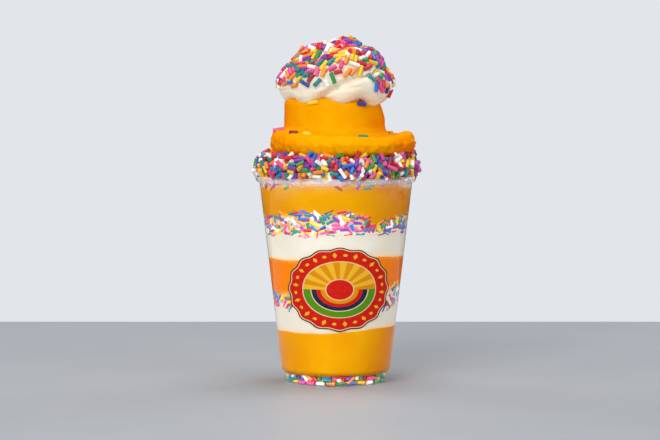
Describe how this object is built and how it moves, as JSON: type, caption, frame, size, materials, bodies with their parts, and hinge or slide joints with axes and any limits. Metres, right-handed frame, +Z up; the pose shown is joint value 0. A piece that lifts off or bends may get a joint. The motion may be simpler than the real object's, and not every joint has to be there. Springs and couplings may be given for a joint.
{
  "type": "cup of italian ice",
  "caption": "Clear tapered cup of layered mango ice, soft serve and candy sprinkles, heaped over the rim with sprinkles, a brimmed scoop of ice and a sprinkled swirl.",
  "frame": {"origin": "on the table, under the middle of the cup", "axes": "+Z up, -Y towards the viewer of the picture, +X to the right"},
  "size_m": [0.1015, 0.1016, 0.2093],
  "materials": {
    "clear_plastic": "clear gloss",
    "mango_ice": "wet, smooth",
    "mango_ice_deep": "wet, smooth",
    "soft_serve": "satin",
    "sprinkles": "satin, mixed colours",
    "print": "printed ink"
  },
  "bodies": {
    "root": {"cup": "clear_plastic", "sprinkles_base": "sprinkles", "mango_ice_bottom": "mango_ice", "soft_serve_lower": "soft_serve", "sprinkles_lower": "sprinkles", "mango_ice_middle": "mango_ice_deep", "soft_serve_upper": "soft_serve", "sprinkles_upper": "sprinkles", "mango_ice_top": "mango_ice", "sprinkles_rim": "sprinkles", "mango_ice_crown": "mango_ice", "soft_serve_cap": "soft_serve"}
  },
  "joints": []
}
